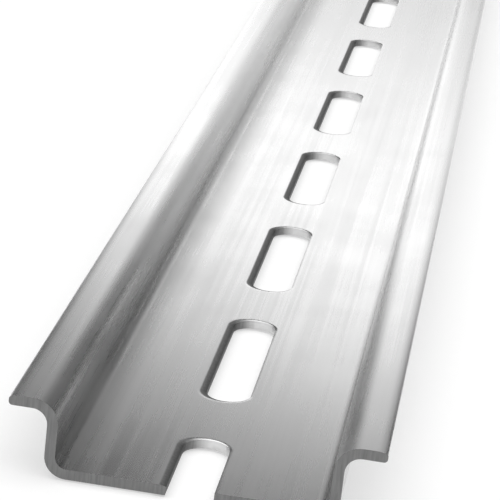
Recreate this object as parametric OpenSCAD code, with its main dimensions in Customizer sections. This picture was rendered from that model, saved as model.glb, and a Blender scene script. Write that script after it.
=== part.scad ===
// Slotted top-hat mounting rail, 35 mm wide and 7.5 mm deep.
// One strip of plated steel: roll-formed to a hat section with four rounded bends, punched with a
// row of slots down the middle, and cut to length straight through a slot.
// X runs across the rail, Y along it and Z out of the channel. The back of the base is on z = 0.

/* [Section] */
// Width over the two flanges that devices clip on to, in mm
rail_w = 35; // [32:0.5:50]
// Width of the channel over the outside of its walls, in mm
channel_w = 27.5; // [16:0.5:29]
// Depth of the section from the back of the base to the top of the flanges, in mm
rail_h = 7.5; // [5.5:0.5:15]
// Thickness of the strip, in mm
strip_t = 1; // [0.8:0.1:1.5]
// Inside radius of the two bends between the base and the walls, in mm
base_bend_r = 1.1; // [0.4:0.1:1.6]
// Inside radius of the two bends between the walls and the flanges, in mm
flange_bend_r = 1.5; // [0.4:0.1:1.6]
// Rounding of the strip's two long edges, at the tips of the flanges, in mm
edge_r = 0.35; // [0.1:0.05:0.35]

/* [Length and slots] */
// Length of the cut rail, in mm
rail_l = 1000; // [100:1:2000]
// Distance from slot centre to slot centre, in mm
slot_pitch = 36; // [28:1:50]
// Length of a slot over its round ends, in mm
slot_l = 25; // [8:0.5:26]
// Width of a slot, in mm
slot_w = 4.5; // [3.2:0.1:7]
// Distance from the cut end at -Y to the centre of the first slot, in mm
first_slot = 0; // [0:0.5:18]

/* [Hidden] */
$fn = 96;
// how far the punch passes both faces of the base, in mm
punch_clear = 1;
// number of slots that reach into the length, a cut one at either end included
slot_n = floor((rail_l - first_slot + slot_l / 2) / slot_pitch) + 1;
// flat stretches between the bends
base_flat = channel_w - 2 * (strip_t + base_bend_r);
wall_flat = rail_h - 2 * strip_t - base_bend_r - flange_bend_r;
flange_flat = (rail_w - channel_w) / 2 - flange_bend_r;

// Quarter ring: one bend of the strip, with inside radius r about a centre at the origin
module bend(r) {
    intersection() {
        difference() {
            circle(r = r + strip_t);
            circle(r = r);
        }
        square(r + strip_t);
    }
}

// Flange from its bend out to the rounded edge of the strip, underside on y = 0
module flange() {
    square([flange_flat - edge_r, strip_t]);
    translate([0, edge_r]) square([flange_flat, strip_t - 2 * edge_r]);
    for (y = [edge_r, strip_t - edge_r])
        translate([flange_flat - edge_r, y]) circle(r = edge_r);
}

// Right half of the hat: base, lower bend, wall, upper bend and flange
module half_section() {
    square([base_flat / 2, strip_t]);
    translate([base_flat / 2, strip_t + base_bend_r]) mirror([0, 1]) bend(base_bend_r);
    translate([channel_w / 2 - strip_t, strip_t + base_bend_r]) square([strip_t, wall_flat]);
    translate([channel_w / 2 + flange_bend_r, rail_h - strip_t - flange_bend_r])
        mirror([1, 0]) bend(flange_bend_r);
    translate([channel_w / 2 + flange_bend_r, rail_h - strip_t]) flange();
}

module hat_section() {
    half_section();
    mirror([1, 0]) half_section();
}

// One punched slot with round ends, along y
module slot() {
    depth = strip_t + 2 * punch_clear;
    straight = slot_l - slot_w;
    translate([0, 0, -punch_clear]) {
        for (y = [-straight / 2, straight / 2])
            translate([0, y, 0]) cylinder(h = depth, d = slot_w);
        translate([-slot_w / 2, -straight / 2, 0]) cube([slot_w, straight, depth]);
    }
}

// The row of slots, counted from the cut end at -Y
module slot_row() {
    for (k = [0 : slot_n - 1])
        translate([0, -rail_l / 2 + first_slot + k * slot_pitch, 0]) slot();
}

module rail() {
    color([0.80, 0.80, 0.80])
    difference() {
        rotate([90, 0, 0]) linear_extrude(height = rail_l, center = true) hat_section();
        slot_row();
    }
}

rail();
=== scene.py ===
# Slotted top-hat mounting rail in zinc-plated steel: looks, light and camera.
import math
import bpy
import bmesh
from mathutils import Euler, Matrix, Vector


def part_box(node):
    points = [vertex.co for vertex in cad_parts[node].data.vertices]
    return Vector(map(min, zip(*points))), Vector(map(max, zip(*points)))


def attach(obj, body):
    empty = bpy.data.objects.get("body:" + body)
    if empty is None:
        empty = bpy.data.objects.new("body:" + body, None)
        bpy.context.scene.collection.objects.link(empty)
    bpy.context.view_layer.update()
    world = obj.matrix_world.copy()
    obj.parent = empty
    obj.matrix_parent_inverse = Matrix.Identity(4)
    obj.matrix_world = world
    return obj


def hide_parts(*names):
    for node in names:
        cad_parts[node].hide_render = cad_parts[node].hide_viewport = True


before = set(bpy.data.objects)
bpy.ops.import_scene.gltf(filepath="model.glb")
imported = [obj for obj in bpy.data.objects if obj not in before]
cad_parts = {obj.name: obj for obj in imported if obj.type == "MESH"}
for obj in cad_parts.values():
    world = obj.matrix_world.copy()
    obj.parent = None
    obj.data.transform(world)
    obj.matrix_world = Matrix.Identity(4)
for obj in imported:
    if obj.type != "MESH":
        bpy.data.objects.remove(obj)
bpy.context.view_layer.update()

MM = 0.001

# ---------------------------------------------------------------- sizes, in mm
LO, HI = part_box("rail")
RAIL_W = (HI[0] - LO[0]) / MM
RAIL_L = (HI[1] - LO[1]) / MM
RAIL_H = (HI[2] - LO[2]) / MM
CHANNEL_W = 27.5
STRIP_T = 1.0
BASE_BEND_R = 1.1
FLANGE_BEND_R = 1.5
EDGE_R = 0.35
EDGE_ROLL = 1.1     # how far in from the tip the upper edge of a flange starts to fall
SLOT_PITCH = 36.0
SLOT_L = 25.0
SLOT_W = 4.5
FIRST_SLOT = 0.0
ROLL_W = (0.25, 0.85)    # how far out the rim of a slot is pulled down, on its tight and its loose side
ROLL_D = (0.06, 0.20)    # and how deep
BARE_AND_SHADE = (0.03, 1.0)       # share of dark steel on the slot's wall, on the same two sides: bare steel, and on the loose side painted shade as well
ROLL_AND_SHADE_WAY = (-0.80, -0.60)   # way to the loose side, to the left and near, where the rims roll further and the walls and rims are darkened as painted shade
CELL_W = 6.0        # half width of the patch of base that holds one slot

RIM_REACH = 1.6     # how far from a slot's wall the rows round its rim go
BEND_STEPS = 10     # rows round each bend
ROLL_STEPS = 6      # rows over the upper edge of a flange's tip
EDGE_STEPS = 5      # rows under it
ARC_SIDE = 4        # steps round a slot's end that face the patch's long side, at each side
ARC_ACROSS = 10     # and those that face the next slot
STRAIGHT_STEPS = 4
SHARP = math.radians(40)    # edges that turn more than this are creases
END_CUT = 0.5               # share of bare steel on the two cut ends
MERGE = 2e-6                # metres, corners nearer than this are one


# ---------------------------------------------------------------- the rail
def arc(cx, cz, r, a0, a1, steps):
    """Points on an arc about (cx, cz), from the angle a0 to a1 in degrees."""
    return [(cx + r * math.cos(math.radians(a0 + (a1 - a0) * i / steps)),
             cz + r * math.sin(math.radians(a0 + (a1 - a0) * i / steps)))
            for i in range(steps + 1)]


def outer_path():
    """Right half of the section, from the slot patch out over the flange tip and back: (x, z)."""
    half, t = CHANNEL_W / 2, STRIP_T
    tip, h = RAIL_W / 2, RAIL_H
    rb, rf = BASE_BEND_R, FLANGE_BEND_R
    base_end = half - t - rb
    top = [(CELL_W, t), ((CELL_W + base_end) / 2, t)]
    top += arc(base_end, t + rb, rb, -90, 0, BEND_STEPS)
    top += arc(half + rf, h - t - rf, rf + t, 180, 90, BEND_STEPS)
    for i in range(ROLL_STEPS + 1):
        a = math.radians(90 - 90 * i / ROLL_STEPS)
        top.append((tip - EDGE_ROLL * (1 - math.cos(a)), h - EDGE_R * (1 - math.sin(a))))
    top += arc(tip - EDGE_R, h - t + EDGE_R, EDGE_R, 0, -90, EDGE_STEPS)
    low = arc(half + rf, h - t - rf, rf, 90, 180, BEND_STEPS)
    low += arc(base_end, t + rb, rb + t, 0, -90, BEND_STEPS)
    low += [((CELL_W + base_end) / 2, 0.0), (CELL_W, 0.0)]
    return top + low


def slot_ring():
    """Points round a slot from its +X side: offset direction, rim point and patch-border point."""
    r, s, p = SLOT_W / 2, (SLOT_L - SLOT_W) / 2, SLOT_PITCH / 2
    pts = []
    for i in range(STRAIGHT_STEPS):
        y = -s + 2 * s * i / STRAIGHT_STEPS
        pts.append(((1, 0), (r, y), (CELL_W, y)))
    n = 2 * ARC_SIDE + ARC_ACROSS
    for i in range(n):
        a = math.pi * i / n
        d = (math.cos(a), math.sin(a))
        if i <= ARC_SIDE:
            b = (CELL_W, s + (p - s) * i / ARC_SIDE)
        elif i < ARC_SIDE + ARC_ACROSS:
            b = (CELL_W * (1 - 2 * (i - ARC_SIDE) / ARC_ACROSS), p)
        else:
            b = (-CELL_W, p - (p - s) * (i - ARC_SIDE - ARC_ACROSS) / ARC_SIDE)
        pts.append((d, (r * d[0], s + r * d[1]), b))
    half = list(pts)
    for d, q, b in half:
        pts.append(((-d[0], -d[1]), (-q[0], -q[1]), (-b[0], -b[1])))
    return pts


def rim_profile(d):
    """Rim of a slot in the direction d, from the top, down the wall and underneath.

    Each row is (offset out from the wall, z, share of bare steel, raised towards the left and near side as
    painted shade).
    """
    t = STRIP_T
    # painted shade: the share of dark steel grows towards the left and near side of each slot
    roll_and_shade = (0.5 + 0.5 * (d[0] * ROLL_AND_SHADE_WAY[0] + d[1] * ROLL_AND_SHADE_WAY[1])) ** 2
    width, depth, bare_and_shade = (a + (b - a) * roll_and_shade for a, b in (ROLL_W, ROLL_D, BARE_AND_SHADE))
    prof = [(RIM_REACH, t, 0.0), (width * 1.4, t, 0.0)]
    for f in (1.0, 0.8, 0.55, 0.3, 0.12, 0.0):
        prof.append((width * f, t - depth * (1 - f) ** 2, bare_and_shade * (1 - f) ** 0.7))
    prof += [(0.0, 0.6 * t, bare_and_shade), (0.0, 0.25 * t, bare_and_shade), (0.02, 0.03, bare_and_shade)]
    prof += [(0.05, 0.0, 0.6 * bare_and_shade), (RIM_REACH, 0.0, 0.0)]
    return prof


def build_rail():
    """The whole strip as one closed mesh, with an attribute for bare steel and painted shade, and the UV map
    strip for its material.
    """
    bm = bmesh.new()
    bare_and_shade = bm.verts.layers.float.new("bare_and_shade")
    ring, path = slot_ring(), outer_path()
    rims = [rim_profile(d) for d, _, _ in ring]
    n_slots = int((RAIL_L - FIRST_SLOT + SLOT_L / 2) // SLOT_PITCH) + 1
    ys = sorted({round(b[1], 6) for _, _, b in ring if abs(b[0] - CELL_W) < 1e-9})
    y_start = -RAIL_L / 2 + FIRST_SLOT

    def quad(a, b, c, d):
        try:
            bm.faces.new((a, b, c, d))
        except ValueError:
            pass

    # the patch round each slot
    for k in range(n_slots):
        yc = y_start + k * SLOT_PITCH
        loops = [[bm.verts.new((b[0] * MM, (yc + b[1]) * MM, STRIP_T * MM)) for _, _, b in ring]]
        for level in zip(*rims):
            loop = []
            for (d, q, _), (off, z, bare_and_shade_share) in zip(ring, level):
                v = bm.verts.new(((q[0] + d[0] * off) * MM, (yc + q[1] + d[1] * off) * MM, z * MM))
                v[bare_and_shade] = bare_and_shade_share
                loop.append(v)
            loops.append(loop)
        loops.append([bm.verts.new((b[0] * MM, (yc + b[1]) * MM, 0.0)) for _, _, b in ring])
        m = len(ring)
        for a, b in zip(loops[:-1], loops[1:]):
            for i in range(m):
                j = (i + 1) % m
                quad(a[i], a[j], b[j], b[i])
    # the bent sides, swept along Y with the same rows as the patches
    rows = []
    for k in range(n_slots):
        yc = y_start + k * SLOT_PITCH
        rows += [yc + y for y in ys[(1 if k else 0):]]
    for side in (1, -1):
        grid = [[bm.verts.new((side * x * MM, y * MM, z * MM)) for x, z in path] for y in rows]
        for a, b in zip(grid[:-1], grid[1:]):
            for i in range(len(path) - 1):
                if side > 0:
                    quad(a[i], a[i + 1], b[i + 1], b[i])
                else:
                    quad(a[i], b[i], b[i + 1], a[i + 1])
    bmesh.ops.remove_doubles(bm, verts=bm.verts, dist=MERGE)
    # cut to length: straight through a slot at -Y, and wherever the slots fall at +Y
    for y, n in ((-RAIL_L / 2, -1), (RAIL_L / 2, 1)):
        bmesh.ops.bisect_plane(bm, geom=bm.verts[:] + bm.edges[:] + bm.faces[:], dist=1e-7,
                               plane_co=(0, y * MM, 0), plane_no=(0, n, 0), clear_outer=True)
        edges = [e for e in bm.edges if e.is_boundary and all(abs(v.co.y - y * MM) < 1e-6 for v in e.verts)]
        bmesh.ops.holes_fill(bm, edges=edges, sides=0)
    bmesh.ops.recalc_face_normals(bm, faces=bm.faces)
    cut = bm.loops.layers.float.new("cut")
    for f in bm.faces:
        f.smooth = True
        at_end = abs(f.normal.y) > 0.99 and abs(abs(f.calc_center_median().y) - RAIL_L / 2 * MM) < 1e-6
        for corner in f.loops:
            corner[cut] = END_CUT if at_end else corner.vert[bare_and_shade]
    for e in bm.edges:
        e.smooth = len(e.link_faces) == 2 and e.calc_face_angle() < SHARP
    bm.verts.layers.float.remove(bare_and_shade)
    # U runs across the strip and V along it, so that the grain has a direction
    flat = bm.loops.layers.uv.new("strip")
    for f in bm.faces:
        lean = abs(f.normal.z) < 0.7 and abs(f.normal.y) < 0.7
        for corner in f.loops:
            x, y, z = corner.vert.co
            corner[flat].uv = ((z if lean else x) * 10, y * 10)
    me = bpy.data.meshes.new("rail_strip")
    bm.to_mesh(me)
    bm.free()
    ob = bpy.data.objects.new("rail_strip", me)
    bpy.context.scene.collection.objects.link(ob)
    return ob


# ---------------------------------------------------------------- its metal
ZINC = 0.80               # grey of the plating
CORNER_SHADE = 0.74               # factor on it for painted shade in the left inner corner
ROUGH = 0.27
BARE_ROUGH = 0.42         # added where the steel is bare
GRAIN = 0.93              # anisotropy of the rolled surface
BUMP = 0.05
BUMP_DEPTH = 0.00004      # metres
STEEL_AND_SHADE = [(0.0, 0.55), (0.5, 0.34), (1.0, 0.10)]    # share of bare steel and painted shade, and its grey


def zinc_steel():
    """Bright zinc over rolled steel, with painted shade in the left inner corner, and dark steel where the
    mesh's attribute is above 0: bare sheared steel, with painted shade on the left and near walls and rims of
    the slots.
    """
    mat = bpy.data.materials.new("zinc_steel")
    mat.use_nodes = True
    nt = mat.node_tree
    bsdf = nt.nodes["Principled BSDF"]
    link = nt.links.new

    def node(kind, **values):
        n = nt.nodes.new(kind)
        for key, value in values.items():
            setattr(n, key, value)
        return n

    def noise(scale, detail=3.0, rough=0.55):
        """Noise over the object, stretched by a scale along each axis, in cells per metre."""
        m = node("ShaderNodeMapping")
        m.inputs["Scale"].default_value = scale
        link(coord.outputs["Object"], m.inputs["Vector"])
        n = node("ShaderNodeTexNoise")
        n.inputs["Scale"].default_value = 1.0
        n.inputs["Detail"].default_value = detail
        n.inputs["Roughness"].default_value = rough
        link(m.outputs["Vector"], n.inputs["Vector"])
        return n.outputs["Fac"]

    def spread(value, lo, hi, from_lo=0.3, from_hi=0.7):
        r = node("ShaderNodeMapRange")
        r.inputs["From Min"].default_value = from_lo
        r.inputs["From Max"].default_value = from_hi
        r.inputs["To Min"].default_value = lo
        r.inputs["To Max"].default_value = hi
        link(value, r.inputs["Value"])
        return r.outputs["Result"]

    def maths(op, a, b):
        m = node("ShaderNodeMath", operation=op)
        for socket, value in zip(m.inputs, (a, b)):
            if isinstance(value, float):
                socket.default_value = value
            else:
                link(value, socket)
        return m.outputs[0]

    coord = node("ShaderNodeTexCoord")
    streaks = noise((1600, 9, 1600), 4.0, 0.6)        # rolling marks, long and thin
    bands = noise((260, 3, 260), 2.0)                 # broader bands of the same
    bloom = noise((90, 55, 90))                       # cloudiness of the zinc
    tears = noise((4200, 4200, 350))                  # sheared faces tear along the thickness

    # painted shade: the zinc is darkened in the left inner corner, within an oval about (-11.9, 2.0) mm in
    # the section, where the left wall shades the base beside it
    shade_oval = node("ShaderNodeMapping")
    shade_oval.inputs["Location"].default_value = (5.0, 0, -0.6)
    shade_oval.inputs["Scale"].default_value = (420, 0, 300)
    link(coord.outputs["Object"], shade_oval.inputs["Vector"])
    shade_reach = node("ShaderNodeVectorMath", operation="LENGTH")
    link(shade_oval.outputs["Vector"], shade_reach.inputs[0])

    tone = maths("ADD", spread(streaks, -0.030, 0.022), spread(bands, -0.02, 0.02))
    tone = maths("ADD", tone, spread(bloom, -0.035, 0.025))
    plated = maths("MULTIPLY", maths("ADD", tone, ZINC), spread(shade_reach.outputs["Value"], CORNER_SHADE, 1.0, 0.2, 1.1))

    # the attribute marks bare steel on the cut faces, and painted shade on the left and near walls and rims
    # of the slots
    cut = node("ShaderNodeAttribute", attribute_name="cut").outputs["Fac"]
    steel = node("ShaderNodeValToRGB")
    elements = steel.color_ramp.elements
    elements.remove(elements[-1])
    for i, (at, grey) in enumerate(STEEL_AND_SHADE):
        e = elements.new(at) if i else elements[0]
        e.position = at
        e.color = (grey, grey, grey, 1)
    link(cut, steel.inputs["Fac"])
    shaded_steel = maths("MULTIPLY", steel.outputs["Color"], spread(tears, 0.85, 1.15))
    bare_and_shade_share = maths("MINIMUM", maths("MULTIPLY", cut, 3.0), 1.0)
    mix = node("ShaderNodeMix", data_type="FLOAT")
    link(bare_and_shade_share, mix.inputs["Factor"])
    link(plated, mix.inputs["A"])
    link(shaded_steel, mix.inputs["B"])
    link(mix.outputs["Result"], bsdf.inputs["Base Color"])

    polish = maths("ADD", spread(streaks, -0.03, 0.04), spread(bloom, -0.03, 0.04))
    polish = maths("ADD", polish, ROUGH)
    link(maths("ADD", polish, maths("MULTIPLY", bare_and_shade_share, BARE_ROUGH)), bsdf.inputs["Roughness"])
    bsdf.inputs["Metallic"].default_value = 1.0
    bsdf.inputs["Anisotropic"].default_value = GRAIN
    grain_way = node("ShaderNodeTangent", direction_type="UV_MAP", uv_map="strip")
    link(grain_way.outputs["Tangent"], bsdf.inputs["Tangent"])

    torn = maths("MULTIPLY", maths("MULTIPLY", tears, bare_and_shade_share), 2.5)
    height = maths("ADD", maths("MULTIPLY", streaks, 0.4), torn)
    bump = node("ShaderNodeBump")
    bump.inputs["Strength"].default_value = BUMP
    bump.inputs["Distance"].default_value = BUMP_DEPTH
    link(height, bump.inputs["Height"])
    link(bump.outputs["Normal"], bsdf.inputs["Normal"])
    return mat


rail = build_rail()
rail.data.materials.append(zinc_steel())
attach(rail, "root")
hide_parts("rail")

# ---------------------------------------------------------------- floor
FLOOR_GREY = 0.62
FLOOR_GLOW = 0.40     # light of its own
FLOOR_HALF = 6.0      # metres
FLOOR_DROP = 0.0002   # metres below the rail's back, so that the two don't coincide


def pale_floor():
    """Matt floor, with a little light of its own for the camera and in reflections, so it reads as white."""
    mat = bpy.data.materials.new("floor_pale")
    mat.use_nodes = True
    nt = mat.node_tree
    bsdf = nt.nodes["Principled BSDF"]
    bsdf.inputs["Base Color"].default_value = (FLOOR_GREY, FLOOR_GREY, FLOOR_GREY, 1)
    bsdf.inputs["Roughness"].default_value = 0.9
    bsdf.inputs["Specular IOR Level"].default_value = 0.0
    bsdf.inputs["Emission Color"].default_value = (1, 1, 1, 1)
    path = nt.nodes.new("ShaderNodeLightPath")
    seen = nt.nodes.new("ShaderNodeMath")
    seen.operation = "MAXIMUM"
    nt.links.new(path.outputs["Is Camera Ray"], seen.inputs[0])
    nt.links.new(path.outputs["Is Glossy Ray"], seen.inputs[1])
    through = nt.nodes.new("ShaderNodeMath")
    through.operation = "MAXIMUM"
    nt.links.new(seen.outputs[0], through.inputs[0])
    nt.links.new(path.outputs["Is Transmission Ray"], through.inputs[1])
    glow = nt.nodes.new("ShaderNodeMath")
    glow.operation = "MULTIPLY"
    nt.links.new(through.outputs[0], glow.inputs[0])
    glow.inputs[1].default_value = FLOOR_GLOW
    nt.links.new(glow.outputs[0], bsdf.inputs["Emission Strength"])
    return mat


h = FLOOR_HALF
plane = bpy.data.meshes.new("floor")
plane.from_pydata([(-h, -h, 0), (h, -h, 0), (h, h, 0), (-h, h, 0)], [], [(0, 1, 2, 3)])
floor = bpy.data.objects.new("floor", plane)
bpy.context.scene.collection.objects.link(floor)
floor.location.z = -FLOOR_DROP
floor.data.materials.append(pale_floor())


# ---------------------------------------------------------------- light
# The window is half an oval on the horizon, about the direction +Y.  All of these are parts of a unit vector.
MIDDLE = -0.01      # sideways place of its middle
WIDE = 0.31         # its half width
HIGH = 0.378        # its height
REACH = 1.4         # how far out its levels are given, in shares of its own size
# (share of its own size, grey): dimmer in the middle, brightest about 0.8 of the way out, soft at the rim
WINDOW = [(0, 0.50), (0.50, 0.60), (0.60, 0.92), (0.68, 1.30), (0.76, 1.60), (0.82, 1.62), (0.88, 1.40),
          (0.94, 0.95), (1.0, 0.48), (1.06, 0.20), (1.12, 0.09), (1.2, 0.06), (1.4, 0.06)]
# (sideways part of the direction, factor on the window): its right half is dimmer
SIDEWAYS = [(-1, 1), (-0.20, 1), (-0.14, 0.92), (-0.06, 1.10), (0, 1), (0.08, 0.64), (1, 0.64)]
# (sideways part of the direction, grey) beside the window
PLAIN = [(-1, 0.60), (-0.7, 0.40), (-0.5, 0.12), (0.5, 0.10), (0.7, 0.40), (1, 0.60)]
FRONT = 0.60        # grey towards -Y
ABOVE = 0.50        # grey overhead
SOFTBOX = 1.1       # brightness of the lamp overhead
SOFTBOX_SIZE = 2.4  # metres
SOFTBOX_AT = (0.35, 1.3)    # metres past the near end, and above the floor


def studio_world(window, sideways, plain, front, above):
    """Soft grey surroundings with one arched window of light behind the far end (+Y)."""
    world = bpy.context.scene.world or bpy.data.worlds.new("studio")
    bpy.context.scene.world = world
    world.use_nodes = True
    nt = world.node_tree
    link = nt.links.new
    bg = nt.nodes["Background"]
    coord = nt.nodes.new("ShaderNodeTexCoord")
    axes = nt.nodes.new("ShaderNodeSeparateXYZ")
    link(coord.outputs["Generated"], axes.inputs["Vector"])

    def ramp(source, stops):
        n = nt.nodes.new("ShaderNodeValToRGB")
        elements = n.color_ramp.elements
        elements.remove(elements[-1])
        for i, (at, grey) in enumerate(stops):
            e = elements.new(at) if i else elements[0]
            e.position = at
            e.color = (grey, grey, grey, 1)
        link(source, n.inputs["Fac"])
        return n.outputs["Color"]

    def blend(factor, a, b):
        n = nt.nodes.new("ShaderNodeMix")
        n.data_type = "FLOAT"
        link(factor, n.inputs["Factor"])
        for socket, value in (("A", a), ("B", b)):
            if isinstance(value, float):
                n.inputs[socket].default_value = value
            else:
                link(value, n.inputs[socket])
        return n.outputs["Result"]

    def span(source, lo, hi):
        n = nt.nodes.new("ShaderNodeMapRange")
        n.interpolation_type = "SMOOTHSTEP"
        n.inputs["From Min"].default_value = lo
        n.inputs["From Max"].default_value = hi
        link(source, n.inputs["Value"])
        return n.outputs["Result"]

    squash = nt.nodes.new("ShaderNodeMapping")
    squash.inputs["Scale"].default_value = (1 / WIDE, 0, 1 / HIGH)
    squash.inputs["Location"].default_value = (-MIDDLE / WIDE, 0, 0)
    link(coord.outputs["Generated"], squash.inputs["Vector"])
    rho = nt.nodes.new("ShaderNodeVectorMath")
    rho.operation = "LENGTH"
    link(squash.outputs["Vector"], rho.inputs[0])
    part = nt.nodes.new("ShaderNodeMath")
    part.operation = "MULTIPLY"
    part.inputs[1].default_value = 1 / REACH
    link(rho.outputs["Value"], part.inputs[0])
    across = nt.nodes.new("ShaderNodeMapRange")
    across.inputs["From Min"].default_value = -1.0
    link(axes.outputs["X"], across.inputs["Value"])

    glow = nt.nodes.new("ShaderNodeMath")
    glow.operation = "MULTIPLY"
    link(ramp(part.outputs[0], [(at / REACH, grey) for at, grey in window]), glow.inputs[0])
    link(ramp(across.outputs["Result"], [((x + 1) / 2, factor) for x, factor in sideways]), glow.inputs[1])
    dim = ramp(across.outputs["Result"], [((x + 1) / 2, grey) for x, grey in plain])
    back = blend(span(rho.outputs["Value"], 1.2, 1.6), glow.outputs[0], dim)
    level = blend(span(axes.outputs["Y"], 0.30, -0.10), back, front)
    level = blend(span(axes.outputs["Z"], 0.50, 0.85), level, above)
    link(level, bg.inputs["Color"])
    bg.inputs["Strength"].default_value = 1.0


def softbox(name, loc, target, size, radiance):
    """Square softbox of an even brightness, as seen in a mirror."""
    lamp = bpy.data.lights.new(name, "AREA")
    lamp.shape = "SQUARE"
    lamp.size = size
    lamp.energy = radiance * math.pi * size * size
    ob = bpy.data.objects.new(name, lamp)
    bpy.context.scene.collection.objects.link(ob)
    ob.location = loc
    ob.rotation_euler = (Vector(target) - Vector(loc)).to_track_quat("-Z", "Y").to_euler()
    ob.visible_camera = False


studio_world(WINDOW, SIDEWAYS, PLAIN, FRONT, ABOVE)
over = -RAIL_L / 2 * MM + SOFTBOX_AT[0]
softbox("softbox_top", (0.0, over, SOFTBOX_AT[1]), (0.0, over, 0.0), SOFTBOX_SIZE, SOFTBOX)

# ---------------------------------------------------------------- camera
CAM_SIDE = 23.1                                   # mm right of the middle
CAM_BACK = 213.7                                  # mm out from the near end
CAM_UP = 93.4                                     # mm above the floor
CAM_TURN = (72.1, -6.47, 7.5)                     # degrees
CAM_LENS = 183.5                                  # mm, on a frame 36 mm wide

cam_data = bpy.data.cameras.new("camera")
cam = bpy.data.objects.new("camera", cam_data)
bpy.context.scene.collection.objects.link(cam)
cam_data.sensor_fit = "HORIZONTAL"
cam_data.sensor_width = 36.0
cam_data.lens = CAM_LENS
cam.location = (CAM_SIDE * MM, (-RAIL_L / 2 - CAM_BACK) * MM, CAM_UP * MM)
cam.rotation_euler = Euler([math.radians(a) for a in CAM_TURN], "XYZ")
cam_data.clip_start = 0.01
bpy.context.scene.camera = cam
bpy.context.scene.view_settings.view_transform = "Standard"
